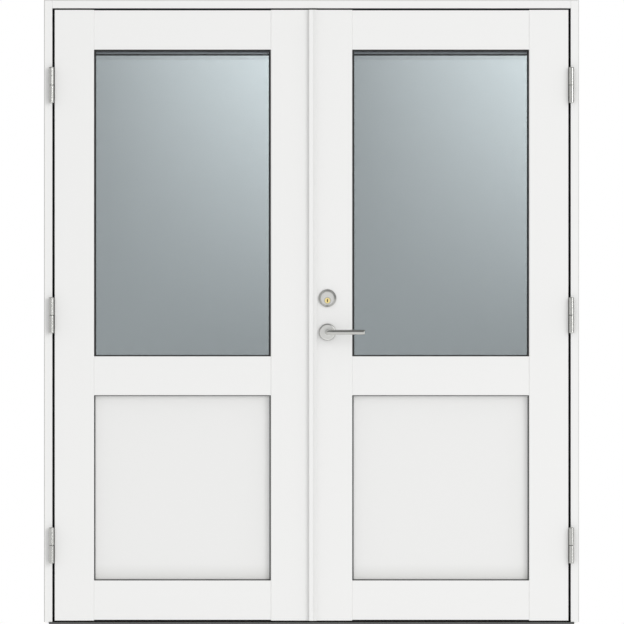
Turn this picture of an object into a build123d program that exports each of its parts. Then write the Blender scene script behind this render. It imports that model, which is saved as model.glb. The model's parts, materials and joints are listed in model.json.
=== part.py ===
from build123d import *
import os

# French doors: a pair of half-glazed timber leaves hung to open outward in a rebated frame.
# Millimetres. +X is to the right seen from outside, +Y goes into the room and +Z is up.
# The origin is the middle of the threshold's underside.

# Frame: jambs and head of one rebated section
FRAME_WIDTH = 1780.0
FRAME_HEIGHT = 2080.0
FRAME_DEPTH = 115.0
FRAME_FACE = 27.5
STOP_STEP = 20.0
FRAME_ARRIS = 2.0
FRAME_OUTER_ARRIS = 3.5
FOOT_GAP = 7.5
FOOT_SLOPE = 3.5
FIXING_RADIUS = 7.0
FIXING_DEPTH = 32.0
FIXING_OUTER_INSET = 120.0
FIXING_INNER_INSET = 640.0

# Threshold: hardwood base under a metal cover
THRESHOLD_INSET = 16.0
THRESHOLD_LEDGE = 11.0
THRESHOLD_HEIGHT = 26.0
COVER_THICKNESS = 3.0
COVER_LIP_BOTTOM = 2.0
COVER_NOSE_RADIUS = 2.5
COVER_GROOVES = 4
COVER_GROOVE_WIDTH = 2.0
COVER_GROOVE_DEPTH = 0.8
COVER_GROOVE_PITCH = 9.0

# Seal let into the stop all round
SEAL_GAP = 4.0
SEAL_CLEARANCE = 0.3
SEAL_STEM_WIDTH = 3.0
SEAL_STEM_DEPTH = 6.0
SEAL_BULB_WIDTH = 12.0
SEAL_CORNER_CLEARANCE = 0.8
SEAL_BULB_CHAMFER = 2.0

# Leaves: stiles and rails with stub tenons
HINGE_GAP = 8.0
MEETING_GAP = 6.0
HEAD_GAP = 5.5
THRESHOLD_GAP = 4.5
LEAF_THICKNESS = 60.0
LEAF_ARRIS = 2.0
HINGE_STILE_WIDTH = 130.8
MEETING_STILE_WIDTH = 132.4
TOP_RAIL_HEIGHT = 130.5
MID_RAIL_HEIGHT = 129.5
BOTTOM_RAIL_HEIGHT = 130.6
MID_RAIL_BOTTOM = 765.0
RAIL_FACE_SETBACK = 1.0
RAIL_TOP_SETBACK = 1.5
RAIL_BOTTOM_SETBACK = 2.5
JOINT_CHAMFER = 1.8
RAIL_END_CHAMFER = 1.0
SIGHT_CHAMFER = 2.5
TENON_LENGTH = 45.0
TENON_THICKNESS = 16.0
TENON_SHOULDER = 24.0
MORTISE_CLEARANCE = 0.2

# Glazing and panel, held from inside by mitred beads
REBATE_WIDTH = 18.0
EDGE_CLEARANCE = 5.0
GLAZING_LIP = 21.5
GASKET_THICKNESS = 3.0
GASKET_COVER = 10.0
GLASS_GASKET_SIGHT = 7.0
GLASS_GASKET_SILL_SIGHT = 4.6
INNER_GASKET_SIGHT = 2.0
PANE_THICKNESS = 4.0
GLASS_CAVITY = 14.0
SPACER_INSET = 4.0
SPACER_WIDTH = 8.0
SPACER_TOP_SIGHT = 14.3
TOP_SEAL_HEIGHT = 5.3
PANEL_GASKET_SIDE_SIGHT = 4.5
PANEL_GASKET_SILL_SIGHT = 4.0
PANEL_GASKET_TOP_SIGHT = 2.6
BEAD_CHAMFER = 6.0

# Astragal: the strip on the active leaf that laps the meeting line
ASTRAGAL_OVERHANG = 11.3
ASTRAGAL_SEAT = 14.3
ASTRAGAL_PROUD = 12.0
ASTRAGAL_LAP_CLEARANCE = 1.0
ASTRAGAL_END = 0.5
ASTRAGAL_FLAT = 2.0
ASTRAGAL_STEP = 6.0
ASTRAGAL_BAND_RISE = 3.0
ASTRAGAL_ARRIS = 1.2

# Lift-off hinges: the lower half on the jamb holds the pin, the upper half is on the leaf
HINGE_COUNT = 3
HINGE_END_OFFSET = 250.0
HINGE_LENGTH = 120.0
KNUCKLE_DIAMETER = 16.0
KNUCKLE_STAND_OFF = 4.0
AXIS_OUTSET = 3.0
PLATE_SETBACK = 12.0
NECK_LAP = 1.0
NECK_SPAN = 2.7
NECK_REACH = 16.0
KNUCKLE_END_RADIUS = 3.0
KNUCKLE_CAP = 8.0
PIN_DIAMETER = 8.0
COLLAR_THICKNESS = 2.0
COLLAR_INSET = 2.0
RUNNING_CLEARANCE = 0.05
PLATE_THICKNESS = 3.0
PLATE_DEPTH = 40.0
PLATE_CORNER = 6.0
PLATE_SCREWS = 3
PLATE_SCREW_PITCH = 40.0
SCREW_HEAD_DIAMETER = 8.4
SCREW_SHANK_DIAMETER = 4.2
SCREW_LENGTH = 28.0
EDGE_SCREW_LENGTH = 14.0
DRIVE_LENGTH = 4.8
DRIVE_WIDTH = 1.3
DRIVE_DEPTH = 1.6

# Mortise lock in the active leaf's meeting stile
LEVER_HEIGHT = 975.0
CYLINDER_ABOVE_LEVER = 105.0
BACKSET = 50.0
FOREND_END = 27.5
FOREND_WIDTH = 22.0
FOREND_THICKNESS = 3.0
FOREND_SCREW_INSET = 10.0
CASE_DEPTH = 82.0
CASE_THICKNESS = 15.0
CASE_BELOW_LEVER = 40.0
CASE_ABOVE_CYLINDER = 35.0
CASE_CLEARANCE = 0.3
BOLT_THICKNESS = 11.0
BOLT_CLEARANCE = 0.3
LATCH_HEIGHT = 20.0
LATCH_THROW = 12.0
LATCH_NOSE = 2.5
DEADBOLT_HEIGHT = 30.0
DEADBOLT_THROW = 20.0
BOLT_TAIL_GAP = 1.0
STRIKE_CLEARANCE = 1.0
STRIKE_SPARE = 6.0

# Levers, roses and spindle
LEVER_DIAMETER = 17.0
LEVER_REACH = 125.0
LEVER_PROJECTION = 50.0
LEVER_BEND_RADIUS = 16.0
LEVER_TIP_RADIUS = 3.0
LEVER_EMBED = 4.0
LEVER_CLEARANCE = 0.3
LEVER_HOLE_SPARE = 1.5
SPINDLE_SIZE = 8.0
SPINDLE_SOCKET = 20.0
SPINDLE_HOLE_RADIUS = 6.2
ROSE_DIAMETER = 57.0
ROSE_THICKNESS = 9.0
ROSE_RIM_RADIUS = 5.0
ROSE_LINE_INSET = 6.5
ROSE_LINE_WIDTH = 1.2
ROSE_LINE_DEPTH = 0.6

# Lock cylinder outside and thumb-turn inside
KEY_PLUG_DIAMETER = 18.0
KEY_PLUG_PROUD = 0.5
KEYWAY_WIDTH = 3.2
KEYWAY_HEIGHT = 10.0
KEYWAY_DEPTH = 24.0
CYLINDER_NOSE_DIAMETER = 24.0
CYLINDER_BODY_WIDTH = 30.0
CYLINDER_BODY_RISE = 17.0
CYLINDER_HOLE_CLEARANCE = 0.5
RING_DIAMETER = 59.0
RING_THICKNESS = 11.0
RING_BEVEL = 8.0
RING_RISE = 8.0
TAIL_DIAMETER = 8.0
TAIL_CLEARANCE = 0.4
TAIL_GAP = 0.8
TURN_NECK_DIAMETER = 12.0
TURN_LENGTH = 34.0
TURN_WIDTH = 12.0
TURN_DEPTH = 18.0
TURN_RADIUS = 3.0

# Flush bolts in the passive leaf's meeting edge, with their keeps
BOLT_ROD_DIAMETER = 10.0
BOLT_ROD_INSET = 22.0
BOLT_ROD_CLEARANCE = 0.7
BOLT_TIP_SETBACK = 1.0
BOLT_PLATE_LENGTH = 180.0
BOLT_PLATE_WIDTH = 20.0
BOLT_PLATE_THICKNESS = 3.0
BOLT_PLATE_END = 40.0
BOLT_PLATE_SCREW_INSET = 12.0
BOLT_THUMB_HEIGHT = 14.0
BOLT_THUMB_THICKNESS = 7.0
BOLT_THUMB_SETBACK = 0.5
BOLT_SLOT_CLEARANCE = 0.5
TOP_BOLT_THROW = 18.0
BOTTOM_BOLT_THROW = 12.0
KEEP_WIDTH = 34.0
KEEP_DEPTH = 24.0
KEEP_THICKNESS = 3.0
KEEP_BUSH_WALL = 2.5
KEEP_BUSH_FLOOR = 1.5
KEEP_SPARE = 6.0

# How far a cut runs past the surface that it opens
OVERRUN = 1.0

# Planes across the depth
front = -FRAME_DEPTH / 2
back = FRAME_DEPTH / 2
leaf_front = front
leaf_back = leaf_front + LEAF_THICKNESS
leaf_mid = (leaf_front + leaf_back) / 2
stop_front = leaf_back + SEAL_GAP

# Planes across the width, on the right-hand side
outer_x = FRAME_WIDTH / 2
rebate_x = outer_x - FRAME_FACE
stop_x = rebate_x - STOP_STEP
hinge_edge_x = rebate_x - HINGE_GAP
meeting_x = MEETING_GAP / 2
threshold_end_x = outer_x - THRESHOLD_INSET

# Heights
head_under = FRAME_HEIGHT - FRAME_FACE
head_stop = head_under - STOP_STEP
leaf_top = head_under - HEAD_GAP
leaf_bottom = THRESHOLD_LEDGE + THRESHOLD_GAP

pieces = {}


def block(x, y, z):
    """A box between two places on each axis."""
    spans = [sorted(pair) for pair in (x, y, z)]
    centre = [(low + high) / 2 for low, high in spans]
    return Pos(*centre) * Box(*[high - low for low, high in spans])


def grown(span, by):
    """A pair of places moved apart by the same amount at each end."""
    return (span[0] - by, span[1] + by)


def about(centre, size):
    """The pair of places a size takes up about its centre."""
    return (centre - size / 2, centre + size / 2)


def rod(axis, centre, radius, span):
    """A round bar along one axis, between two places on it."""
    low, high = sorted(span)
    turn = {"x": Rot(0, 90, 0), "y": Rot(90, 0, 0), "z": Rot(0, 0, 0)}[axis]
    middle = (low + high) / 2
    place = {"x": (middle, *centre), "y": (centre[0], middle, centre[1]), "z": (*centre, middle)}[axis]
    return Pos(*place) * turn * Cylinder(radius, high - low)


def ring(x, y, z, wall):
    """A rectangular ring that lies across the depth."""
    return block(x, y, z) - block(grown(x, -wall), grown(y, OVERRUN), grown(z, -wall))


def facing(y, towards_room):
    """The upright plane at a depth, looking into the room or out of it."""
    return Plane(origin=(0, y, 0), x_dir=(1, 0, 0), z_dir=(0, 1 if towards_room else -1, 0))


def splayed_cut(x, z, y, towards_room, splay):
    """A cut that eases the arris round a rectangular opening."""
    width, height = x[1] - x[0], z[1] - z[0]
    plane = Plane(
        origin=(sum(x) / 2, y, sum(z) / 2), x_dir=(1, 0, 0), z_dir=(0, 1 if towards_room else -1, 0)
    )
    mouth = plane * Rectangle(width + 2 * splay, height + 2 * splay)
    return extrude(mouth, amount=splay, taper=45)


def section(points, plane):
    """A flat face from the corners of its outline."""
    return plane * make_face(Polyline(*points, close=True))


def rounded(face, outer, inner):
    """A frame section with round arrises, largest at its outer front, but square in the rebate."""
    face = fillet(face.vertices().sort_by_distance(outer)[0], FRAME_OUTER_ARRIS)
    rest = face.vertices().sort_by_distance(inner)[1:]
    return fillet(rest.sort_by_distance(outer)[2:], FRAME_ARRIS)


def mirrored(shape):
    """The same piece on the left-hand side."""
    return mirror(shape, about=Plane.YZ)


def to_inside(shape):
    """The same piece on the room side of a leaf."""
    return mirror(shape, about=facing(leaf_mid, True))


def screw(x, y, z, direction, length, driven):
    """A countersunk screw along X, its head's face at x; a driven one has its cross recess."""
    head_radius, shank_radius = SCREW_HEAD_DIAMETER / 2, SCREW_SHANK_DIAMETER / 2
    head_height = head_radius - shank_radius
    body = Pos(0, 0, head_height / 2) * Cone(head_radius, shank_radius, head_height)
    body += Pos(0, 0, length / 2) * Cylinder(shank_radius, length)
    if driven:
        for slot in ((DRIVE_LENGTH, DRIVE_WIDTH), (DRIVE_WIDTH, DRIVE_LENGTH)):
            body -= Box(*slot, 2 * DRIVE_DEPTH)
    return Pos(x, y, z) * Rot(0, 90 * direction, 0) * body


# Threshold: the hardwood base carries the stop, and the cover laps its front edge
threshold_span = (-threshold_end_x, threshold_end_x)
base_ledge = THRESHOLD_LEDGE - COVER_THICKNESS
cover_front = front - COVER_THICKNESS
base_outline = [
    (front, 0),
    (front, base_ledge),
    (stop_front, base_ledge),
    (stop_front, THRESHOLD_HEIGHT),
    (back, THRESHOLD_HEIGHT),
    (back, 0),
]
cover_outline = [
    (stop_front, THRESHOLD_LEDGE),
    (cover_front, THRESHOLD_LEDGE),
    (cover_front, COVER_LIP_BOTTOM),
    (front, COVER_LIP_BOTTOM),
    (front, base_ledge),
    (stop_front, base_ledge),
]
threshold_base = extrude(section(base_outline, Plane.YZ), amount=threshold_end_x, both=True)
cover_face = section(cover_outline, Plane.YZ)
nose = cover_face.vertices().sort_by_distance((0, cover_front, THRESHOLD_LEDGE))[0]
cover_face = fillet(nose, COVER_NOSE_RADIUS)
threshold_cover = extrude(cover_face, amount=threshold_end_x, both=True)
groove_middle = (front + stop_front) / 2
for index in range(COVER_GROOVES):
    groove_y = groove_middle + (index - (COVER_GROOVES - 1) / 2) * COVER_GROOVE_PITCH
    threshold_cover -= block(
        grown(threshold_span, OVERRUN),
        about(groove_y, COVER_GROOVE_WIDTH),
        (THRESHOLD_LEDGE - COVER_GROOVE_DEPTH, THRESHOLD_LEDGE + OVERRUN),
    )

# Jambs and head: the jambs run the full height, and the head is scribed between them
jamb_outline = [
    (outer_x, front),
    (rebate_x, front),
    (rebate_x, stop_front),
    (stop_x, stop_front),
    (stop_x, back),
    (outer_x, back),
]
head_outline = [
    (front, FRAME_HEIGHT),
    (front, head_under),
    (stop_front, head_under),
    (stop_front, head_stop),
    (back, head_stop),
    (back, FRAME_HEIGHT),
]
jamb_face = section(jamb_outline, Plane.XY)
jamb_face = rounded(jamb_face, (outer_x, front, 0), (rebate_x, stop_front, 0))
frame_jamb_right = Pos(0, 0, FOOT_GAP) * extrude(jamb_face, amount=FRAME_HEIGHT - FOOT_GAP)
foot_outline = [
    (threshold_end_x, FOOT_GAP),
    (outer_x + OVERRUN, FOOT_GAP),
    (outer_x + OVERRUN, FOOT_GAP + FOOT_SLOPE),
]
frame_jamb_right -= extrude(section(foot_outline, Plane.XZ), amount=FRAME_DEPTH, both=True)
frame_jamb_right -= threshold_base
frame_jamb_right -= threshold_cover
fixing_heights = [
    FIXING_OUTER_INSET,
    FIXING_INNER_INSET,
    FRAME_HEIGHT - FIXING_INNER_INSET,
    FRAME_HEIGHT - FIXING_OUTER_INSET,
]
for height in fixing_heights:
    frame_jamb_right -= rod(
        "x", (front + FIXING_DEPTH, height), FIXING_RADIUS, (rebate_x - OVERRUN, outer_x + OVERRUN)
    )
frame_jamb_left = mirrored(frame_jamb_right)
head_face = section(head_outline, Plane.YZ)
head_face = rounded(head_face, (0, front, FRAME_HEIGHT), (0, stop_front, head_under))
frame_head = extrude(head_face, amount=rebate_x, both=True)
frame_head -= frame_jamb_right
frame_head -= frame_jamb_left

# Seal: a stem in a groove of the stop, and a bulb in the rebate's corner that a closed leaf presses
seal_corner = SEAL_CORNER_CLEARANCE + SEAL_BULB_WIDTH / 2
seal_x = rebate_x - seal_corner
seal_z = (THRESHOLD_LEDGE + seal_corner, head_under - seal_corner)
seal_line = (-seal_x, seal_x)
seal_stem = ring(
    grown(seal_line, SEAL_STEM_WIDTH / 2),
    (stop_front, stop_front + SEAL_STEM_DEPTH),
    grown(seal_z, SEAL_STEM_WIDTH / 2),
    SEAL_STEM_WIDTH,
)
seal_bulb = ring(
    grown(seal_line, SEAL_BULB_WIDTH / 2),
    (leaf_back + SEAL_CLEARANCE, stop_front),
    grown(seal_z, SEAL_BULB_WIDTH / 2),
    SEAL_BULB_WIDTH,
)
seal_bulb = chamfer(seal_bulb.faces().sort_by(Axis.Y)[0].edges(), SEAL_BULB_CHAMFER)
frame_jamb_left -= seal_stem
frame_jamb_right -= seal_stem
frame_head -= seal_stem
threshold_base -= seal_stem
pieces["frame_seal"] = seal_bulb + seal_stem

# Leaf timber, made for the right-hand leaf and mirrored for the left
sight_x = (meeting_x + MEETING_STILE_WIDTH, hinge_edge_x - HINGE_STILE_WIDTH)
bottom_rail_z = (leaf_bottom + RAIL_BOTTOM_SETBACK, leaf_bottom + RAIL_BOTTOM_SETBACK + BOTTOM_RAIL_HEIGHT)
mid_rail_z = (MID_RAIL_BOTTOM, MID_RAIL_BOTTOM + MID_RAIL_HEIGHT)
top_rail_z = (leaf_top - RAIL_TOP_SETBACK - TOP_RAIL_HEIGHT, leaf_top - RAIL_TOP_SETBACK)
panel_sight_z = (bottom_rail_z[1], mid_rail_z[0])
glass_sight_z = (mid_rail_z[1], top_rail_z[0])
rail_y = (leaf_front + RAIL_FACE_SETBACK, leaf_back - RAIL_FACE_SETBACK)


def stile(x, outside):
    """An upright of a leaf: eased on its free edge, and with a fine chamfer along the rails."""
    blank = block(x, (leaf_front, leaf_back), (leaf_bottom, leaf_top))
    blank = fillet(blank.edges().filter_by(Axis.Z).group_by(Axis.X)[outside], LEAF_ARRIS)
    inside = 0 if outside else -1
    return chamfer(blank.edges().filter_by(Axis.Z).group_by(Axis.X)[inside], JOINT_CHAMFER)


def tenon_span(rail_z):
    """The height of a rail's stub tenon."""
    return grown(rail_z, -TENON_SHOULDER)


rails = {"top_rail": top_rail_z, "mid_rail": mid_rail_z, "bottom_rail": bottom_rail_z}
tenon_y = about(leaf_mid, TENON_THICKNESS)
timber = {
    "hinge_stile": stile((sight_x[1], hinge_edge_x), -1),
    "meeting_stile": stile((meeting_x, sight_x[0]), 0),
}
for name, rail_z in rails.items():
    blank = block(sight_x, rail_y, rail_z)
    timber[name] = chamfer(blank.edges().filter_by(Axis.Z), RAIL_END_CHAMFER)
    timber[name] += block(grown(sight_x, TENON_LENGTH), tenon_y, tenon_span(rail_z))
    mortise = block(
        grown(sight_x, TENON_LENGTH + MORTISE_CLEARANCE),
        grown(tenon_y, MORTISE_CLEARANCE),
        grown(tenon_span(rail_z), MORTISE_CLEARANCE),
    )
    timber["hinge_stile"] -= mortise
    timber["meeting_stile"] -= mortise
for sight_z in (glass_sight_z, panel_sight_z):
    rebate = block(
        grown(sight_x, REBATE_WIDTH),
        (leaf_front + GLAZING_LIP, leaf_back + OVERRUN),
        grown(sight_z, REBATE_WIDTH),
    )
    eased = splayed_cut(sight_x, sight_z, leaf_front, True, SIGHT_CHAMFER)
    for name in timber:
        timber[name] -= rebate
        timber[name] -= eased

# Glazing unit, panel, rubber and beads, from the outside in
unit_reach = REBATE_WIDTH - EDGE_CLEARANCE
outer_gasket_y = leaf_front + GLAZING_LIP
outer_pane_y = outer_gasket_y + GASKET_THICKNESS
cavity_y = outer_pane_y + PANE_THICKNESS
inner_pane_y = cavity_y + GLASS_CAVITY
inner_gasket_y = inner_pane_y + PANE_THICKNESS
bead_y = inner_gasket_y + GASKET_THICKNESS
bead_back = rail_y[1]
unit_x = grown(sight_x, unit_reach)
unit_z = grown(glass_sight_z, unit_reach)


def gasket(sight_z, y, side, sill, top):
    """A flat rubber ring that shows inside the stiles and rails by its sight widths."""
    whole = block(grown(sight_x, GASKET_COVER), y, grown(sight_z, GASKET_COVER))
    return whole - block(grown(sight_x, -side), grown(y, OVERRUN), (sight_z[0] + sill, sight_z[1] - top))


def mitred_beads(sight_z):
    """Four beads round an opening, splayed towards the room and mitred at the corners."""
    x, z = grown(sight_x, REBATE_WIDTH), grown(sight_z, REBATE_WIDTH)
    frame = ring(x, (bead_y, bead_back), z, REBATE_WIDTH)
    frame -= splayed_cut(sight_x, sight_z, bead_back, False, BEAD_CHAMFER)
    outside = [(x[0], z[0]), (x[1], z[0]), (x[1], z[1]), (x[0], z[1])]
    inside = [
        (sight_x[0], sight_z[0]),
        (sight_x[1], sight_z[0]),
        (sight_x[1], sight_z[1]),
        (sight_x[0], sight_z[1]),
    ]
    beads = []
    for side in range(len(outside)):
        after = (side + 1) % len(outside)
        corners = [outside[side], outside[after], inside[after], inside[side]]
        wedge = extrude(section(corners, facing(bead_y, False)), amount=bead_y - bead_back)
        beads.append(frame & wedge)
    return beads


# The spacer's top bar reaches below the sight line, with a strip of sealant under it
cavity = (cavity_y, inner_pane_y)
spacer_x = grown(unit_x, -SPACER_INSET)
spacer_z = grown(unit_z, -SPACER_INSET)
top_bar_z = (glass_sight_z[1] - SPACER_TOP_SIGHT, spacer_z[1])
glass_spacer = ring(spacer_x, cavity, spacer_z, SPACER_WIDTH) + block(spacer_x, cavity, top_bar_z)
top_seal = block(grown(spacer_x, -SPACER_WIDTH), cavity, (top_bar_z[0] - TOP_SEAL_HEIGHT, top_bar_z[0]))
outer_gasket = gasket(
    glass_sight_z,
    (outer_gasket_y, outer_pane_y),
    GLASS_GASKET_SIGHT,
    GLASS_GASKET_SILL_SIGHT,
    GLASS_GASKET_SIGHT,
)
inner_gasket = gasket(
    glass_sight_z, (inner_gasket_y, bead_y), INNER_GASKET_SIGHT, INNER_GASKET_SIGHT, INNER_GASKET_SIGHT
)
glazing = {
    "outer_pane": block(unit_x, (outer_pane_y, cavity_y), unit_z),
    "inner_pane": block(unit_x, (inner_pane_y, inner_gasket_y), unit_z),
    "glass_spacer": glass_spacer,
    "glass_gaskets": Compound([outer_gasket.solid(), inner_gasket.solid(), top_seal.solid()]),
    "lower_panel": block(unit_x, (outer_pane_y, bead_y), grown(panel_sight_z, unit_reach)),
    "panel_gasket": gasket(
        panel_sight_z,
        (outer_gasket_y, outer_pane_y),
        PANEL_GASKET_SIDE_SIGHT,
        PANEL_GASKET_SILL_SIGHT,
        PANEL_GASKET_TOP_SIGHT,
    ),
    "glazing_beads": Compound(
        [bead.solid() for z in (glass_sight_z, panel_sight_z) for bead in mitred_beads(z)]
    ),
}

# Hinges: plates in the gap between leaf and jamb, knuckles that stand off the frame's face
knuckle_radius = KNUCKLE_DIAMETER / 2
pin_radius = PIN_DIAMETER / 2
axis = (rebate_x + AXIS_OUTSET, front - knuckle_radius - KNUCKLE_STAND_OFF)
half_length = (HINGE_LENGTH - COLLAR_THICKNESS) / 2
bore_length = half_length - KNUCKLE_CAP
hinge_bottom = leaf_bottom + HINGE_END_OFFSET
hinge_pitch = (leaf_top - leaf_bottom - 2 * HINGE_END_OFFSET) / (HINGE_COUNT - 1)
hinge_heights = [hinge_bottom + index * hinge_pitch for index in range(HINGE_COUNT)]
plate_screw_y = front + (PLATE_DEPTH + PLATE_SETBACK) / 2


def hinge_half(height, plate_x, neck_x, upper):
    """One half of a hinge: a knuckle closed at its end, a neck, and a plate with round corners."""
    away = 1 if upper else -1
    near = height + away * COLLAR_THICKNESS / 2
    far = near + away * half_length
    barrel = rod("z", axis, knuckle_radius, (near, far))
    tip = barrel.edges().filter_by(GeomType.CIRCLE).sort_by(Axis.Z)[-1 if upper else 0]
    half = fillet(tip, KNUCKLE_END_RADIUS)
    plate = block(plate_x, (front + PLATE_SETBACK, front + PLATE_DEPTH), about(height, HINGE_LENGTH))
    half += fillet(plate.edges().filter_by(Axis.X).group_by(Axis.Y)[-1], PLATE_CORNER)
    half += block(neck_x, (axis[1], front + NECK_REACH), (near, far - away * KNUCKLE_END_RADIUS))
    bore = pin_radius + (RUNNING_CLEARANCE if upper else 0)
    half -= rod("z", axis, bore, (near - away * OVERRUN, near + away * bore_length))
    return half


def plate_screws(height, x, direction, driven):
    """The screws of one hinge plate."""
    offsets = [(index - (PLATE_SCREWS - 1) / 2) * PLATE_SCREW_PITCH for index in range(PLATE_SCREWS)]
    heights = [height + offset for offset in offsets]
    return [screw(x, plate_screw_y, each, direction, SCREW_LENGTH, driven) for each in heights]


def hinge_pin(height):
    """A pin pressed in the lower knuckle, with the collar that the upper one turns on."""
    collar = (height - COLLAR_THICKNESS / 2, height + COLLAR_THICKNESS / 2 - RUNNING_CLEARANCE)
    ends = grown(about(height, COLLAR_THICKNESS), bore_length - RUNNING_CLEARANCE)
    return rod("z", axis, pin_radius, ends) + rod("z", axis, knuckle_radius - COLLAR_INSET, collar)


frame_plate_x = (rebate_x - PLATE_THICKNESS, rebate_x)
door_plate_x = (hinge_edge_x, hinge_edge_x + PLATE_THICKNESS)
door_neck_x = (door_plate_x[1] - NECK_LAP, door_plate_x[1] - NECK_LAP + NECK_SPAN)
frame_halves, door_halves, pins, frame_screws, door_screws = [], [], [], [], []
for height in hinge_heights:
    into_jamb = (height, frame_plate_x[0], 1)
    into_leaf = (height, door_plate_x[1], -1)
    frame_half = hinge_half(height, frame_plate_x, frame_plate_x, False)
    door_half = hinge_half(height, door_plate_x, door_neck_x, True)
    for each in plate_screws(*into_jamb, False):
        frame_half -= each
    for each in plate_screws(*into_leaf, False):
        door_half -= each
    frame_halves.append(frame_half.solid())
    door_halves.append(door_half.solid())
    pins.append(hinge_pin(height).solid())
    frame_screws += [each.solid() for each in plate_screws(*into_jamb, True)]
    door_screws += [each.solid() for each in plate_screws(*into_leaf, True)]
pieces["right_hinge_frame_halves"] = Compound(frame_halves)
pieces["left_hinge_frame_halves"] = mirrored(Compound(frame_halves))
pieces["right_hinge_door_halves"] = Compound(door_halves)
pieces["left_hinge_door_halves"] = mirrored(Compound(door_halves))
pieces["hinge_pins"] = Compound(pins + [mirrored(pin) for pin in pins])
pieces["frame_hinge_screws"] = Compound(frame_screws + [mirrored(each) for each in frame_screws])

# The same timber, glazing and panel on both sides
for name, shape in {**timber, **glazing}.items():
    pieces["right_" + name] = shape
    pieces["left_" + name] = mirrored(shape)

# Astragal: a flat lip over the meeting line, a step, and a band that rises a little to its end
lip_x = meeting_x - ASTRAGAL_OVERHANG
flat_end_x = meeting_x + ASTRAGAL_FLAT
seat_end_x = meeting_x + ASTRAGAL_SEAT
lip_y = leaf_front - ASTRAGAL_PROUD
band_y = lip_y + ASTRAGAL_STEP
astragal_outline = [
    (lip_x, leaf_front - ASTRAGAL_LAP_CLEARANCE),
    (lip_x, lip_y),
    (flat_end_x, lip_y),
    (flat_end_x, band_y),
    (seat_end_x, band_y - ASTRAGAL_BAND_RISE),
    (seat_end_x, leaf_front),
    (meeting_x, leaf_front),
    (meeting_x, leaf_front - ASTRAGAL_LAP_CLEARANCE),
]
astragal_face = section(astragal_outline, Plane.XY)
front_corners = astragal_face.vertices().group_by(Axis.Y)[0]
astragal_face = fillet(front_corners, ASTRAGAL_ARRIS)
astragal_height = leaf_top - leaf_bottom + 2 * ASTRAGAL_END
pieces["astragal"] = Pos(0, 0, leaf_bottom - ASTRAGAL_END) * extrude(astragal_face, amount=astragal_height)

# Mortise lock: forend let into the edge, case behind it, latch and deadbolt in the case
lever_x = meeting_x + BACKSET
cylinder_z = LEVER_HEIGHT + CYLINDER_ABOVE_LEVER
forend_x = (meeting_x, meeting_x + FOREND_THICKNESS)
case_x = (forend_x[1], forend_x[1] + CASE_DEPTH)
case_y = about(leaf_mid, CASE_THICKNESS)
case_z = (LEVER_HEIGHT - CASE_BELOW_LEVER, cylinder_z + CASE_ABOVE_CYLINDER)
forend_z = sum(case_z) / 2
forend_length = case_z[1] - case_z[0] + 2 * FOREND_END
bolt_y = about(leaf_mid, BOLT_THICKNESS)
latch_z = about(LEVER_HEIGHT, LATCH_HEIGHT)
deadbolt_z = about(cylinder_z, DEADBOLT_HEIGHT)
latch_tip_x = meeting_x - LATCH_THROW
latch_tail_x = lever_x - SPINDLE_HOLE_RADIUS - LATCH_THROW - BOLT_TAIL_GAP
tail_radius = TAIL_DIAMETER / 2
tail_hole_radius = tail_radius + TAIL_CLEARANCE
deadbolt_tail_x = lever_x - tail_hole_radius - BOLT_TAIL_GAP


def edge_plate(x):
    """A round-ended plate let into a meeting edge."""
    plane = Plane(origin=(x[0], leaf_mid, forend_z), x_dir=(0, 0, 1), z_dir=(1, 0, 0))
    return extrude(plane * SlotOverall(forend_length, FOREND_WIDTH), amount=x[1] - x[0])


def edge_screws(x, direction, length, middle, inset, driven):
    """The two screws of a plate in a meeting edge, one near each end."""
    reach = length / 2 - inset
    heights = (middle - reach, middle + reach)
    return [screw(x, leaf_mid, height, direction, EDGE_SCREW_LENGTH, driven) for height in heights]


latch_outline = [
    (latch_tail_x, bolt_y[0]),
    (latch_tip_x, bolt_y[0]),
    (latch_tip_x, bolt_y[0] + LATCH_NOSE),
    (meeting_x, bolt_y[1]),
    (latch_tail_x, bolt_y[1]),
]
latch_bolt = Pos(0, 0, latch_z[0]) * extrude(section(latch_outline, Plane.XY), amount=LATCH_HEIGHT)
deadbolt = block((meeting_x, deadbolt_tail_x), bolt_y, deadbolt_z)
lock_forend = edge_plate(forend_x)
lock_case = block(case_x, case_y, case_z)
latch_way = block(
    (meeting_x - OVERRUN, latch_tail_x + LATCH_THROW + BOLT_CLEARANCE),
    grown(bolt_y, BOLT_CLEARANCE),
    grown(latch_z, BOLT_CLEARANCE),
)
deadbolt_way = block(
    (meeting_x - OVERRUN, deadbolt_tail_x + BOLT_CLEARANCE),
    grown(bolt_y, BOLT_CLEARANCE),
    grown(deadbolt_z, BOLT_CLEARANCE),
)
for way in (latch_way, deadbolt_way):
    lock_forend -= way
    lock_case -= way
lock_case -= rod("y", (lever_x, LEVER_HEIGHT), SPINDLE_HOLE_RADIUS, grown(case_y, OVERRUN))
lock_case -= rod("y", (lever_x, cylinder_z), tail_hole_radius, grown(case_y, OVERRUN))
forend_screws = (meeting_x, 1, forend_length, forend_z, FOREND_SCREW_INSET)
for each in edge_screws(*forend_screws, False):
    lock_forend -= each
pieces["latch_bolt"] = latch_bolt
pieces["deadbolt"] = deadbolt
pieces["lock_forend"] = lock_forend
pieces["lock_case"] = lock_case
active_screws = [each.solid() for each in edge_screws(*forend_screws, True)]
pieces["right_leaf_screws"] = Compound(door_screws + active_screws)

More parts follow.
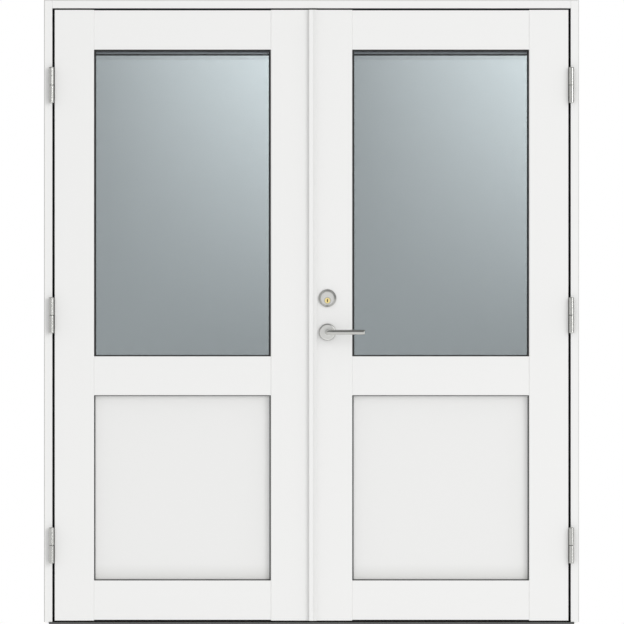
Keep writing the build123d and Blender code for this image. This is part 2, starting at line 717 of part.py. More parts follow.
# Levers: one bent round bar each, on a shared square spindle, through round roses
lever_radius = LEVER_DIAMETER / 2
lever_bar_y = leaf_front - LEVER_PROJECTION
neck_start = (lever_x, leaf_front + LEVER_EMBED, LEVER_HEIGHT)
lever_corner = (lever_x, lever_bar_y, LEVER_HEIGHT)
lever_tip = (lever_x + LEVER_REACH, lever_bar_y, LEVER_HEIGHT)
lever_path = FilletPolyline(neck_start, lever_corner, lever_tip, radius=LEVER_BEND_RADIUS)
neck_plane = Plane(origin=neck_start, x_dir=(1, 0, 0), z_dir=(0, -1, 0))
outer_lever = sweep(neck_plane * Circle(lever_radius), path=lever_path)
tip_edge = outer_lever.edges().filter_by(GeomType.CIRCLE).sort_by(Axis.X)[-1]
outer_lever = fillet(tip_edge, LEVER_TIP_RADIUS)
spindle_y = (leaf_front - SPINDLE_SOCKET, leaf_back + SPINDLE_SOCKET)
lever_spindle = block(about(lever_x, SPINDLE_SIZE), spindle_y, about(LEVER_HEIGHT, SPINDLE_SIZE))
outer_lever -= lever_spindle
pieces["lever_spindle"] = lever_spindle
pieces["outer_lever"] = outer_lever
pieces["inner_lever"] = to_inside(outer_lever)


def rose(z, diameter, thickness, hole_z, hole_radius):
    """A round plate on a leaf's outer face with a rounded rim, a fine line and a hole."""
    plate = rod("y", (lever_x, z), diameter / 2, (leaf_front - thickness, leaf_front))
    rim = plate.edges().filter_by(GeomType.CIRCLE).sort_by(Axis.Y)[0]
    plate = fillet(rim, ROSE_RIM_RADIUS)
    line_y = (leaf_front - thickness - OVERRUN, leaf_front - thickness + ROSE_LINE_DEPTH)
    line_radius = diameter / 2 - ROSE_LINE_INSET
    line = rod("y", (lever_x, z), line_radius, line_y)
    plate -= line - rod("y", (lever_x, z), line_radius - ROSE_LINE_WIDTH, grown(line_y, OVERRUN))
    through = grown((leaf_front - thickness, leaf_front), OVERRUN)
    return plate - rod("y", (lever_x, hole_z), hole_radius, through)


lever_rose = rose(LEVER_HEIGHT, ROSE_DIAMETER, ROSE_THICKNESS, LEVER_HEIGHT, lever_radius + LEVER_CLEARANCE)
pieces["outer_lever_rose"] = lever_rose
pieces["inner_lever_rose"] = to_inside(lever_rose)

# Cylinder: a round nose in the ring, a taller body in the stile, and the key plug in its lower bore
plug_radius = KEY_PLUG_DIAMETER / 2
nose_radius = CYLINDER_NOSE_DIAMETER / 2
ring_front = leaf_front - RING_THICKNESS
ring_z = cylinder_z + RING_RISE
body_plane = Plane(
    origin=(lever_x, leaf_front, cylinder_z + CYLINDER_BODY_RISE / 2), x_dir=(0, 0, 1), z_dir=(0, 1, 0)
)
body_length = CYLINDER_BODY_WIDTH + CYLINDER_BODY_RISE
body_outline = SlotOverall(body_length, CYLINDER_BODY_WIDTH)
hole_outline = SlotOverall(
    body_length + 2 * CYLINDER_HOLE_CLEARANCE, CYLINDER_BODY_WIDTH + 2 * CYLINDER_HOLE_CLEARANCE
)
body_depth = case_y[0] - leaf_front
cylinder_body = extrude(body_plane * body_outline, amount=body_depth)
cylinder_body += rod("y", (lever_x, cylinder_z), nose_radius, (ring_front, leaf_front))
plug_way = (ring_front - OVERRUN, case_y[0] + OVERRUN)
cylinder_body -= rod("y", (lever_x, cylinder_z), plug_radius + RUNNING_CLEARANCE, plug_way)
cylinder_ring = rod("y", (lever_x, ring_z), RING_DIAMETER / 2, (ring_front, leaf_front))
ring_rim = cylinder_ring.edges().filter_by(GeomType.CIRCLE).sort_by(Axis.Y)[0]
cylinder_ring = chamfer(ring_rim, RING_BEVEL)
ring_hole = grown((ring_front, leaf_front), OVERRUN)
cylinder_ring -= rod("y", (lever_x, cylinder_z), nose_radius, ring_hole)
plug_front = ring_front - KEY_PLUG_PROUD
plug_back = case_y[0] - TAIL_GAP
key_plug = rod("y", (lever_x, cylinder_z), plug_radius, (plug_front, plug_back))
key_plug += rod("y", (lever_x, cylinder_z), tail_radius, (plug_back - OVERRUN, leaf_mid - TAIL_GAP))
key_plug -= block(
    about(lever_x, KEYWAY_WIDTH),
    (plug_front - OVERRUN, plug_front + KEYWAY_DEPTH),
    about(cylinder_z, KEYWAY_HEIGHT),
)
pieces["cylinder_body"] = cylinder_body
pieces["cylinder_ring"] = cylinder_ring
pieces["key_plug"] = key_plug

# Thumb-turn on the room side, in line with the key plug
turn_neck_radius = TURN_NECK_DIAMETER / 2
turn_rose = rose(cylinder_z, ROSE_DIAMETER, ROSE_THICKNESS, cylinder_z, turn_neck_radius + LEVER_CLEARANCE)
turn_y = leaf_back + ROSE_THICKNESS + TAIL_GAP
turn_plane = Plane(origin=(lever_x, turn_y, cylinder_z), x_dir=(0, 0, 1), z_dir=(0, 1, 0))
thumbturn = extrude(turn_plane * SlotOverall(TURN_LENGTH, TURN_WIDTH), amount=TURN_DEPTH)
thumbturn = fillet(thumbturn.faces().sort_by(Axis.Y)[-1].edges(), TURN_RADIUS)
neck_back = leaf_back - LEVER_EMBED
thumbturn += rod("y", (lever_x, cylinder_z), turn_neck_radius, (neck_back, turn_y + OVERRUN))
thumbturn += rod("y", (lever_x, cylinder_z), tail_radius, (leaf_mid + TAIL_GAP, neck_back + OVERRUN))
pieces["thumbturn"] = thumbturn
pieces["thumbturn_rose"] = to_inside(turn_rose)

# The active meeting stile is mortised for the lock and bored for levers, cylinder and thumb-turn
lock_mortise = block(
    (meeting_x - OVERRUN, case_x[1] + CASE_CLEARANCE),
    grown(case_y, CASE_CLEARANCE),
    grown(case_z, CASE_CLEARANCE),
)
lever_hole_radius = lever_radius + LEVER_CLEARANCE + LEVER_HOLE_SPARE
turn_hole_radius = turn_neck_radius + LEVER_CLEARANCE + LEVER_HOLE_SPARE
stile_cuts = [
    edge_plate((meeting_x - OVERRUN, forend_x[1])),
    lock_mortise,
    rod("y", (lever_x, LEVER_HEIGHT), lever_hole_radius, grown((leaf_front, leaf_back), OVERRUN)),
    rod("y", (lever_x, cylinder_z), turn_hole_radius, (leaf_mid, leaf_back + OVERRUN)),
    extrude(body_plane * hole_outline, amount=body_depth),
]
for cut in stile_cuts:
    pieces["right_meeting_stile"] -= cut

# Strike plate in the passive leaf, with a pocket for each bolt behind it
strike_x = (-meeting_x - FOREND_THICKNESS, -meeting_x)
strike_plate = edge_plate(strike_x)
passive_stile = pieces["left_meeting_stile"]
passive_stile -= edge_plate((strike_x[0], -meeting_x + OVERRUN))
for bolt_z, throw in ((latch_z, LATCH_THROW), (deadbolt_z, DEADBOLT_THROW)):
    pocket = block(
        (meeting_x - throw - STRIKE_SPARE, -meeting_x + OVERRUN),
        grown(bolt_y, STRIKE_CLEARANCE),
        grown(bolt_z, STRIKE_CLEARANCE),
    )
    strike_plate -= pocket
    passive_stile -= pocket
strike_screws = (-meeting_x, -1, forend_length, forend_z, FOREND_SCREW_INSET)
for each in edge_screws(*strike_screws, False):
    strike_plate -= each
passive_screws = edge_screws(*strike_screws, True)
pieces["strike_plate"] = strike_plate

# Flush bolts: a rod with a thumb-piece, drawn by hand through a slotted plate
rod_x = -meeting_x - BOLT_ROD_INSET
rod_radius = BOLT_ROD_DIAMETER / 2
rod_hole_radius = rod_radius + BOLT_ROD_CLEARANCE
plate_x = (-meeting_x - BOLT_PLATE_THICKNESS, -meeting_x)
thumb_y = about(leaf_mid, BOLT_THUMB_THICKNESS)
for place, end_z, towards, throw in (
    ("top", leaf_top, 1, TOP_BOLT_THROW),
    ("bottom", leaf_bottom, -1, BOTTOM_BOLT_THROW),
):
    plate_z = end_z - towards * (BOLT_PLATE_END + BOLT_PLATE_LENGTH / 2)
    thumb_z = about(plate_z, BOLT_THUMB_HEIGHT)
    travel = sorted((thumb_z[0], thumb_z[1], thumb_z[0] + towards * throw, thumb_z[1] + towards * throw))
    slot_z = grown((travel[0], travel[-1]), BOLT_SLOT_CLEARANCE)
    bolt = rod("z", (rod_x, leaf_mid), rod_radius, (plate_z, end_z - towards * BOLT_TIP_SETBACK))
    bolt += block((rod_x, -meeting_x - BOLT_THUMB_SETBACK), thumb_y, thumb_z)
    plate = block(plate_x, about(leaf_mid, BOLT_PLATE_WIDTH), about(plate_z, BOLT_PLATE_LENGTH))
    passive_stile -= plate
    plate -= block(grown(plate_x, OVERRUN), grown(thumb_y, BOLT_SLOT_CLEARANCE), slot_z)
    plate_pins = (-meeting_x, -1, BOLT_PLATE_LENGTH, plate_z, BOLT_PLATE_SCREW_INSET)
    for each in edge_screws(*plate_pins, False):
        plate -= each
    passive_screws += edge_screws(*plate_pins, True)
    passive_stile -= block(
        (rod_x - rod_hole_radius, -meeting_x), about(leaf_mid, 2 * rod_hole_radius), slot_z
    )
    passive_stile -= rod("z", (rod_x, leaf_mid), rod_hole_radius, (plate_z, end_z + towards * OVERRUN))
    pieces[place + "_flush_bolt"] = bolt
    pieces[place + "_bolt_plate"] = plate
pieces["left_meeting_stile"] = passive_stile
mirrored_screws = [mirrored(each) for each in door_screws]
pieces["left_leaf_screws"] = Compound(mirrored_screws + [each.solid() for each in passive_screws])

# Keeps: a plate under the head, and a bush in the threshold
head_keep_z = (head_under, head_under + KEEP_THICKNESS)
head_keep = block(about(rod_x, KEEP_WIDTH), about(leaf_mid, KEEP_DEPTH), head_keep_z)
frame_head -= head_keep
keep_hole = rod(
    "z", (rod_x, leaf_mid), rod_hole_radius, (head_under - OVERRUN, leaf_top + TOP_BOLT_THROW + KEEP_SPARE)
)
head_keep -= keep_hole
frame_head -= keep_hole
bush_radius = rod_hole_radius + KEEP_BUSH_WALL
bush = rod("z", (rod_x, leaf_mid), bush_radius, (KEEP_BUSH_FLOOR, THRESHOLD_LEDGE))
threshold_base -= bush
threshold_cover -= rod("z", (rod_x, leaf_mid), bush_radius, (0, THRESHOLD_LEDGE + OVERRUN))
bush -= rod("z", (rod_x, leaf_mid), rod_hole_radius, (0, THRESHOLD_LEDGE + OVERRUN))
pieces["head_bolt_keep"] = head_keep
pieces["threshold_bolt_keep"] = bush
pieces["frame_jamb_left"] = frame_jamb_left
pieces["frame_jamb_right"] = frame_jamb_right
pieces["frame_head"] = frame_head
pieces["threshold_base"] = threshold_base
pieces["threshold_cover"] = threshold_cover

os.makedirs("parts", exist_ok=True)
for name, shape in pieces.items():
    export_step(shape, f"parts/{name}.step")
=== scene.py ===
import json
import math

import bpy
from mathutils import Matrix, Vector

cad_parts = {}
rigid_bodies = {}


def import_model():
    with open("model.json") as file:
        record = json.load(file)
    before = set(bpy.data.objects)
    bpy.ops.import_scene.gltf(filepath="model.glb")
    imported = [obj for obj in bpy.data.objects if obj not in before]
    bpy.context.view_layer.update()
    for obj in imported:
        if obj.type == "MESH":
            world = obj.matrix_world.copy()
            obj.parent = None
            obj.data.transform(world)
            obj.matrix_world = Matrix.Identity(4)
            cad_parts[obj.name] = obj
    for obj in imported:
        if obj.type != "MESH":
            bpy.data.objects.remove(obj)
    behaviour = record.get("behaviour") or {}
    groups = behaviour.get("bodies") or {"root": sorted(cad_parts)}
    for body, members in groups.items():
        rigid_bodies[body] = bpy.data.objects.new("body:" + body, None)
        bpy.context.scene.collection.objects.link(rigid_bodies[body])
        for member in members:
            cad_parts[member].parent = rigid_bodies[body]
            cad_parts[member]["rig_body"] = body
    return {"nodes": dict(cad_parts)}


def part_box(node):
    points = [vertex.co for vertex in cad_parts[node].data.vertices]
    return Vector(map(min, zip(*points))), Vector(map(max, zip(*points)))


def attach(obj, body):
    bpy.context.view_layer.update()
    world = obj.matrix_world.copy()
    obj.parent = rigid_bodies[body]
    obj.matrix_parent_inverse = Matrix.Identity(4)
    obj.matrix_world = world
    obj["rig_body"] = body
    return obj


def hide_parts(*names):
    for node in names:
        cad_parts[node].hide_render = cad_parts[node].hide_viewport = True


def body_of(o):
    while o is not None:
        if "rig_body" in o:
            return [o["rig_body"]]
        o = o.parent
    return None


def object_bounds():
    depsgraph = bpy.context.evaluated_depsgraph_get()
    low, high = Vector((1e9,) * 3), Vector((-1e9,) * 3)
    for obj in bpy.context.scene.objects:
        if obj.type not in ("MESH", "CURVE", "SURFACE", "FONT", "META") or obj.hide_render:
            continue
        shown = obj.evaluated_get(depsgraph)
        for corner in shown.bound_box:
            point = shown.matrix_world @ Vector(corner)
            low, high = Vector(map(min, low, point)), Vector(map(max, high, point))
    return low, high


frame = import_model()
cad_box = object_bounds()
nodes = frame["nodes"]


# Frame: two rebated jambs and a head of planed pine, joined at the corners and sprayed with satin
# white. The outer faces go against the opening. Along the outer sides and the top, the last 3.5 mm
# of the arris grey over to a painted shade, so a thin greyer line shows along the outer arris.
def colour(code):
    """A linear colour from an sRGB hex code."""
    parts = [int(code[i : i + 2], 16) / 255 for i in (1, 3, 5)]
    return [p / 12.92 if p <= 0.04045 else ((p + 0.055) / 1.055) ** 2.4 for p in parts] + [1.0]


def add(tree, kind, settings=(), **links):
    """A shader node: settings are its own values, and links its inputs by name or by number."""
    made = tree.nodes.new("ShaderNode" + kind)
    for name, value in dict(settings).items():
        setattr(made, name, value)
    for name, value in links.items():
        place = int(name[1:]) if name[1:].isdigit() else name.replace("_", " ")
        if isinstance(value, bpy.types.NodeSocket):
            tree.links.new(value, made.inputs[place])
        else:
            made.inputs[place].default_value = value
    return made


def finish(name, code, roughness, patch=None, metallic=0.0, **more):
    """A finish whose gloss wanders a little over patches of this many metres, or is even."""
    made = bpy.data.materials.new(name)
    made.use_nodes = True
    tree = made.node_tree
    shader = tree.nodes["Principled BSDF"]
    shader.inputs["Base Color"].default_value = colour(code)
    shader.inputs["Roughness"].default_value = roughness
    shader.inputs["Metallic"].default_value = metallic
    for key, value in more.items():
        shader.inputs[key.replace("_", " ")].default_value = value
    spot = add(tree, "TexCoord").outputs["Object"]
    if patch:
        wander = 0.1
        cloud = add(tree, "TexNoise", Vector=spot, Scale=1 / patch, Detail=2.0)
        gloss = add(tree, "MapRange", Value=cloud.outputs["Fac"], From_Min=0.3, From_Max=0.7)
        gloss.inputs["To Min"].default_value = roughness * (1 - wander)
        gloss.inputs["To Max"].default_value = roughness * (1 + wander)
        tree.links.new(gloss.outputs[0], shader.inputs["Roughness"])
    return made, tree, shader, spot


def sprayed_white(name, code, roughness):
    """Satin paint from a spray gun: an even white with an orange peel of about 2 mm."""
    patch, peel_width, peel_height = 0.15, 0.002, 0.0004
    made, tree, shader, spot = finish(name, code, roughness, patch, Specular_IOR_Level=0.45)
    peel = add(tree, "TexNoise", Vector=spot, Scale=1 / peel_width, Detail=2.0, Roughness=0.5)
    film = add(tree, "Bump", Height=peel.outputs["Fac"], Strength=0.05, Distance=peel_height)
    tree.links.new(film.outputs["Normal"], shader.inputs["Normal"])
    return made, tree, shader, spot


def dress(made, *names):
    """CAD pieces take this finish in every slot."""
    for name in names:
        piece = nodes[name]
        if not piece.data.materials:
            piece.data.materials.append(made)
        for slot in piece.material_slots:
            slot.link = "OBJECT"
            slot.material = made


# The second colour is a painted shade, greyed onto the frame's outer arris.
white, arris_shade, paint_roughness = "#E4E4E3", "#BEBEBC", 0.36
frame_white, tree, shader, spot = sprayed_white(
    "satin white paint on primed pine", white, paint_roughness
)
place = add(tree, "SeparateXYZ", Vector=spot)
aside = add(tree, "Math", {"operation": "ABSOLUTE"}, _0=place.outputs["X"])
half_width, height = cad_box[1][0], cad_box[1][2]
arris_shade_from, arris_shade_full = 0.0035, 0.0015
# Mask of the painted arris shade: 0 from 3.5 mm in, 1 in the outermost 1.5 mm of the sides and
# top.
past_side = add(tree, "MapRange", Value=aside.outputs[0])
past_side.inputs["From Min"].default_value = half_width - arris_shade_from
past_side.inputs["From Max"].default_value = half_width - arris_shade_full
past_top = add(tree, "MapRange", Value=place.outputs["Z"])
past_top.inputs["From Min"].default_value = height - arris_shade_from
past_top.inputs["From Max"].default_value = height - arris_shade_full
arris_shade_mask = add(tree, "Math", {"operation": "MAXIMUM"}, _0=past_side.outputs[0], _1=past_top.outputs[0])
coat = add(
    tree, "Mix", {"data_type": "RGBA"}, _0=arris_shade_mask.outputs[0], _6=colour(white), _7=colour(arris_shade)
)
tree.links.new(coat.outputs[2], shader.inputs["Base Color"])
dress(frame_white, "frame_jamb_left", "frame_jamb_right", "frame_head")

# Threshold base: a length of oak planed along its grain, rebated for the leaves, screwed up into
# the jambs and oiled. The grain shows as streaks about 2 mm wide and 55 mm long.
streak_length, streak_width, pore_depth = 0.055, 0.00185, 0.0003
oak, tree, shader, spot = finish("oiled oak", "#8A6440", 0.5, 0.04)
streaks = add(tree, "Mapping", Vector=spot)
streaks.inputs["Scale"].default_value = (1 / streak_length, 1 / streak_width, 1 / streak_width)
grain = add(tree, "TexNoise", Vector=streaks.outputs["Vector"], Scale=1.0, Detail=6.0)
shade = add(tree, "ValToRGB", Fac=grain.outputs["Fac"])
shade.color_ramp.elements[0].color = colour("#6B4A2C")
shade.color_ramp.elements[1].color = colour("#A57C52")
tree.links.new(shade.outputs["Color"], shader.inputs["Base Color"])
pores = add(tree, "Bump", Height=grain.outputs["Fac"], Strength=0.1, Distance=pore_depth)
tree.links.new(pores.outputs["Normal"], shader.inputs["Normal"])
dress(oak, "threshold_base")

# Threshold cover: an aluminium section drawn through a die, anodised dark and pressed over the
# oak. The die leaves lines along its length, 0.4 mm wide here so that they show close to.
line_length, line_width, line_depth = 0.167, 0.0004, 0.0003
cover, tree, shader, spot = finish("dark anodised drawn aluminium", "#727271", 0.42, 0.06, 1.0)
lines = add(tree, "Mapping", Vector=spot)
lines.inputs["Scale"].default_value = (1 / line_length, 1 / line_width, 1 / line_width)
drawn = add(tree, "TexNoise", Vector=lines.outputs["Vector"], Scale=1.0, Detail=3.0)
die_marks = add(tree, "Bump", Height=drawn.outputs["Fac"], Strength=0.1, Distance=line_depth)
tree.links.new(die_marks.outputs["Normal"], shader.inputs["Normal"])
dress(cover, "threshold_cover")


# Frame seal: a black rubber strip extruded in one length and pushed into a groove in the rebate.
# It is matt, with a pale bloom in patches of about 17 mm.
def rubber(name, dark, pale):
    """Extruded rubber, matt, between a dark shade and the paler one of its bloom."""
    patch = 0.017
    made, tree, shader, spot = finish(name, dark, 0.6, patch)
    bloom = add(tree, "TexNoise", Vector=spot, Scale=1 / patch, Detail=3.0)
    shade = add(tree, "ValToRGB", Fac=bloom.outputs["Fac"])
    shade.color_ramp.elements[0].color = colour(dark)
    shade.color_ramp.elements[1].color = colour(pale)
    tree.links.new(shade.outputs["Color"], shader.inputs["Base Color"])
    return made


black_rubber = rubber("black extruded rubber", "#212223", "#2B2C2D")
dress(black_rubber, "frame_seal")

# Leaves: pine stiles and rails with stub tenons, the mitred beads that hold glass and panel from
# inside, and the strip that laps the meeting line. All of it is sprayed as the frame is.
leaf_white = sprayed_white("satin white paint on pine", white, paint_roughness)[0]
dress(leaf_white, *[n for n in nodes if n.endswith(("_stile", "_rail", "glazing_beads"))])
dress(leaf_white, "astragal")

# Lower panels: faced boards on an insulating core, set in a thin grey rubber line and sprayed a
# shade duller than the timber. A painted shade darkens the foot of each, fading out 45 mm up.
# The second colour is a painted shade, darkening the foot of each panel.
unshaded, foot_shade = "#E1E1E0", "#D6D6D4"
panel_foot, foot_shade_height = 0.157, 0.045
panel_white, tree, shader, spot = sprayed_white("satin white paint on board", unshaded, 0.4)
place = add(tree, "SeparateXYZ", Vector=spot)
foot_shade_mask = add(tree, "MapRange", Value=place.outputs["Z"])
foot_shade_mask.inputs["From Min"].default_value = panel_foot + foot_shade_height
foot_shade_mask.inputs["From Max"].default_value = panel_foot
shade = add(
    tree, "Mix", {"data_type": "RGBA"}, _0=foot_shade_mask.outputs[0], _6=colour(unshaded), _7=colour(foot_shade)
)
tree.links.new(shade.outputs[2], shader.inputs["Base Color"])
dress(panel_white, "left_lower_panel", "right_lower_panel")
grey_rubber = rubber("dark grey extruded rubber", "#474848", "#4D4E4E")
dress(grey_rubber, "left_panel_gasket", "right_panel_gasket")

# Panes: 4 mm float glass, grey in the mass outside and clear inside, cut and sealed as one unit.
# Float glass is flat and clean, so each pane has one colour and no pattern.
glass = {"roughness": 0.0, "Transmission_Weight": 1.0, "IOR": 1.52}
tinted = finish("grey tinted float glass", "#B3B8BD", **glass)[0]
dress(tinted, "left_outer_pane", "right_outer_pane")
clear = finish("clear float glass", "#F2F8F5", **glass)[0]
dress(clear, "left_inner_pane", "right_inner_pane")

# Spacer bars: an aluminium bar folded round the cavity of each glass unit, deeper along the top,
# and held a hair off both panes by its beads of sealant. It is left as rolled, pale and so dull
# that it is drawn as a matt surface.
bar_depth, top_depth, bead, fold = 0.008, 0.0223, 0.0003, 0.0003
squarely, near = 0.9, 0.001
aluminium = finish("mill finish aluminium", "#F8F9F9", 0.5, 0.012)[0]
for name in ("left_glass_spacer", "right_glass_spacer"):
    low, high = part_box(name)
    bpy.ops.object.select_all(action="DESELECT")
    middle = [(a + b) / 2 for a, b in zip(low, high)]
    bpy.ops.mesh.primitive_cube_add(size=1.0, location=middle)
    bar = bpy.context.object
    bar.name = name.replace("glass_spacer", "spacer_bar")
    bar.scale = (high[0] - low[0], high[1] - low[1] - 2 * bead, high[2] - low[2])
    bpy.ops.object.transform_apply(location=True, rotation=True, scale=True)
    bpy.ops.object.mode_set(mode="EDIT")
    bpy.ops.mesh.select_mode(type="FACE")
    bpy.ops.mesh.select_all(action="DESELECT")
    bpy.ops.object.mode_set(mode="OBJECT")
    for face in bar.data.polygons:
        face.select = abs(face.normal.y) > squarely
    bpy.ops.object.mode_set(mode="EDIT")
    bpy.ops.mesh.inset(thickness=bar_depth, depth=0.0)
    bpy.ops.mesh.bridge_edge_loops()
    bpy.ops.mesh.select_mode(type="VERT")
    bpy.ops.mesh.select_all(action="DESELECT")
    bpy.ops.object.mode_set(mode="OBJECT")
    for point in bar.data.vertices:
        point.select = abs(point.co.z - (high[2] - bar_depth)) < near
    bpy.ops.object.mode_set(mode="EDIT")
    bpy.ops.transform.translate(value=(0.0, 0.0, bar_depth - top_depth))
    bpy.ops.mesh.select_all(action="SELECT")
    bpy.ops.mesh.normals_make_consistent(inside=False)
    bpy.ops.object.mode_set(mode="OBJECT")
    rounded = bar.modifiers.new("folded edges", "BEVEL")
    rounded.width = fold
    rounded.segments = 2
    bpy.ops.object.modifier_apply(modifier=rounded.name)
    bar.data.materials.append(aluminium)
    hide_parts(name)
    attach(bar, body_of(nodes[name])[0])

# Glass gaskets: black rubber wedges pressed in on both sides of the glass unit, of the same stuff
# as the frame's seal.
dress(black_rubber, "left_glass_gaskets", "right_glass_gaskets")


# Hinges: lift-off pairs of stainless steel, rolled into knuckles and brushed to a satin along
# their length. The plates in the gap, behind the leaves' face, are darkened by a painted shade,
# and the pins are painted dark, a painted shade where the knuckles meet.
def brushed_steel(name, code, roughness):
    """Satin stainless steel: brush lines 0.4 mm wide and 40 mm long, coarse so that they show."""
    patch, line_width, line_length, line_depth = 0.025, 0.0004, 0.04, 0.0002
    made, tree, shader, spot = finish(name, code, roughness, patch, 1.0)
    lines = add(tree, "Mapping", Vector=spot)
    lines.inputs["Scale"].default_value = (1 / line_width, 1 / line_width, 1 / line_length)
    brush = add(tree, "TexNoise", Vector=lines.outputs["Vector"], Scale=1.0, Detail=2.0)
    scratches = add(tree, "Bump", Height=brush.outputs["Fac"], Strength=0.02, Distance=line_depth)
    tree.links.new(scratches.outputs["Normal"], shader.inputs["Normal"])
    return made, tree, shader, spot


# The second colour is a painted shade for the hinge plates in the gap.
steel, gap_shade, steel_roughness = "#C4C4C1", "#6E6E6B", 0.22
leaf_face, in_gap = -0.0575, -0.0535
hinge_steel, tree, shader, spot = brushed_steel(
    "satin stainless steel with dulled plates", steel, steel_roughness
)
place = add(tree, "SeparateXYZ", Vector=spot)
behind = add(tree, "MapRange", Value=place.outputs["Y"], From_Min=leaf_face, From_Max=in_gap)
shade = add(
    tree, "Mix", {"data_type": "RGBA"}, _0=behind.outputs[0], _6=colour(steel), _7=colour(gap_shade)
)
tree.links.new(shade.outputs[2], shader.inputs["Base Color"])
dress(hinge_steel, *[n for n in nodes if n.endswith(("hinge_frame_halves", "hinge_door_halves"))])
# The pins are painted dark, a painted shade for the line where the knuckles meet.
joint_shade_steel = finish("turned steel with painted joint shade", "#4A4A47", 0.3, 0.004, 1.0)[0]
dress(joint_shade_steel, "hinge_pins")

# Screws: countersunk steel wood screws with a cross recess, zinc plated in a barrel, which leaves
# a bluish grey with mottles of about 6 mm.
zinc = finish("zinc plated steel", "#BFC2C4", 0.35, 0.006, 1.0)[0]
dress(zinc, *[n for n in nodes if n.endswith("screws")])

# Mortise lock: a zinc plated case let into the active leaf's stile, with its two bolts and the
# square spindle, behind a satin steel forend. A strike of the same steel faces it on the passive
# leaf.
satin_steel = brushed_steel("satin stainless steel", steel, steel_roughness)[0]
dress(zinc, "lock_case", "latch_bolt", "deadbolt", "lever_spindle")
dress(satin_steel, "lock_forend", "strike_plate")

# Levers and thumbturn: stainless steel bent from bar and polished to a soft satin by hand, so that
# no brush line shows. The gloss wanders over about 20 mm.
lever_steel = finish("hand polished stainless steel", "#C6C6C3", 0.2, 0.02, 1.0)[0]
dress(lever_steel, "outer_lever", "inner_lever", "thumbturn")

# Roses and cylinder ring: turned brass discs under satin chrome, pressed over their fixing plates.
# They are bright on the flat and greyed towards the rim by a painted shade, with turning marks
# 0.8 mm apart.
# The rim grey is a painted shade towards the rim of each disc.
chrome, rim_shade, chrome_roughness, mark_contrast = "#F6F6F3", "#B9B9B6", 0.3, 0.02
rose_flat, ring_flat, shoulder, mark_spacing = 0.82, 0.68, 0.12, 0.0008
flat_parts = {
    "outer_lever_rose": rose_flat,
    "inner_lever_rose": rose_flat,
    "thumbturn_rose": rose_flat,
    "cylinder_ring": ring_flat,
}
for name, flat in flat_parts.items():
    low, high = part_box(name)
    middle = [(a + b) / 2 for a, b in zip(low, high)]
    radius = (high[0] - low[0]) / 2
    rose, tree, shader, spot = finish(
        "turned satin chrome " + name, chrome, chrome_roughness, metallic=1.0
    )
    centred = add(tree, "Mapping", Vector=spot, Location=[-c for c in middle])
    disc = add(tree, "VectorMath", {"operation": "MULTIPLY"}, _0=centred.outputs["Vector"])
    disc.inputs[1].default_value = (1, 0, 1)
    out = add(tree, "VectorMath", {"operation": "LENGTH"}, _0=disc.outputs["Vector"])
    # Mask of the painted rim shade, from the flat out to the shoulder.
    rim_shade_mask = add(tree, "MapRange", Value=out.outputs["Value"])
    rim_shade_mask.inputs["From Min"].default_value = radius * flat
    rim_shade_mask.inputs["From Max"].default_value = radius * (flat + shoulder)
    shade = add(tree, "Mix", {"data_type": "RGBA"}, _0=rim_shade_mask.outputs[0])
    shade.inputs[6].default_value = colour(chrome)
    shade.inputs[7].default_value = colour(rim_shade)
    tree.links.new(shade.outputs[2], shader.inputs["Base Color"])
    turns = add(tree, "Math", {"operation": "MULTIPLY"}, _0=out.outputs["Value"])
    turns.inputs[1].default_value = 2 * math.pi / mark_spacing
    marks = add(tree, "Math", {"operation": "SINE"}, _0=turns.outputs[0])
    gloss = add(tree, "MapRange", Value=marks.outputs[0], From_Min=-1.0, From_Max=1.0)
    gloss.inputs["To Min"].default_value = chrome_roughness - mark_contrast
    gloss.inputs["To Max"].default_value = chrome_roughness + mark_contrast
    tree.links.new(gloss.outputs[0], shader.inputs["Roughness"])
    dress(rose, name)

# Cylinder: a nickel plated brass body through the stile, with a bare brass plug that the key
# turns. The keyway is milled in, and inside it the brass is painted dark, a painted shade.
nickel = finish("nickel plated brass", "#D2D1CB", 0.35, 0.004, 1.0)[0]
dress(nickel, "cylinder_body")
# The dark brass is a painted shade inside the keyway.
bright_brass, keyway_shade = "#F7E29A", "#4A3C1C"
brass, tree, shader, spot = finish("milled brass", bright_brass, 0.4, 0.002, 0.5)
plug_face, dark_from, dark_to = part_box("key_plug")[0][1], 0.0004, 0.0012
place = add(tree, "SeparateXYZ", Vector=spot)
# Mask of the painted keyway shade, from 0.4 mm to 1.2 mm behind the plug's face.
inside = add(tree, "MapRange", Value=place.outputs["Y"])
inside.inputs["From Min"].default_value = plug_face + dark_from
inside.inputs["From Max"].default_value = plug_face + dark_to
shade = add(tree, "Mix", {"data_type": "RGBA"}, _0=inside.outputs[0])
shade.inputs[6].default_value = colour(bright_brass)
shade.inputs[7].default_value = colour(keyway_shade)
tree.links.new(shade.outputs[2], shader.inputs["Base Color"])
dress(brass, "key_plug")

# Flush bolts: satin steel bolts sliding behind plates in the passive leaf's edge, and the keeps
# let into the head and the threshold to take them.
dress(satin_steel, "top_bolt_plate", "bottom_bolt_plate", "top_flush_bolt", "bottom_flush_bolt")
dress(satin_steel, "head_bolt_keep", "threshold_bolt_keep")

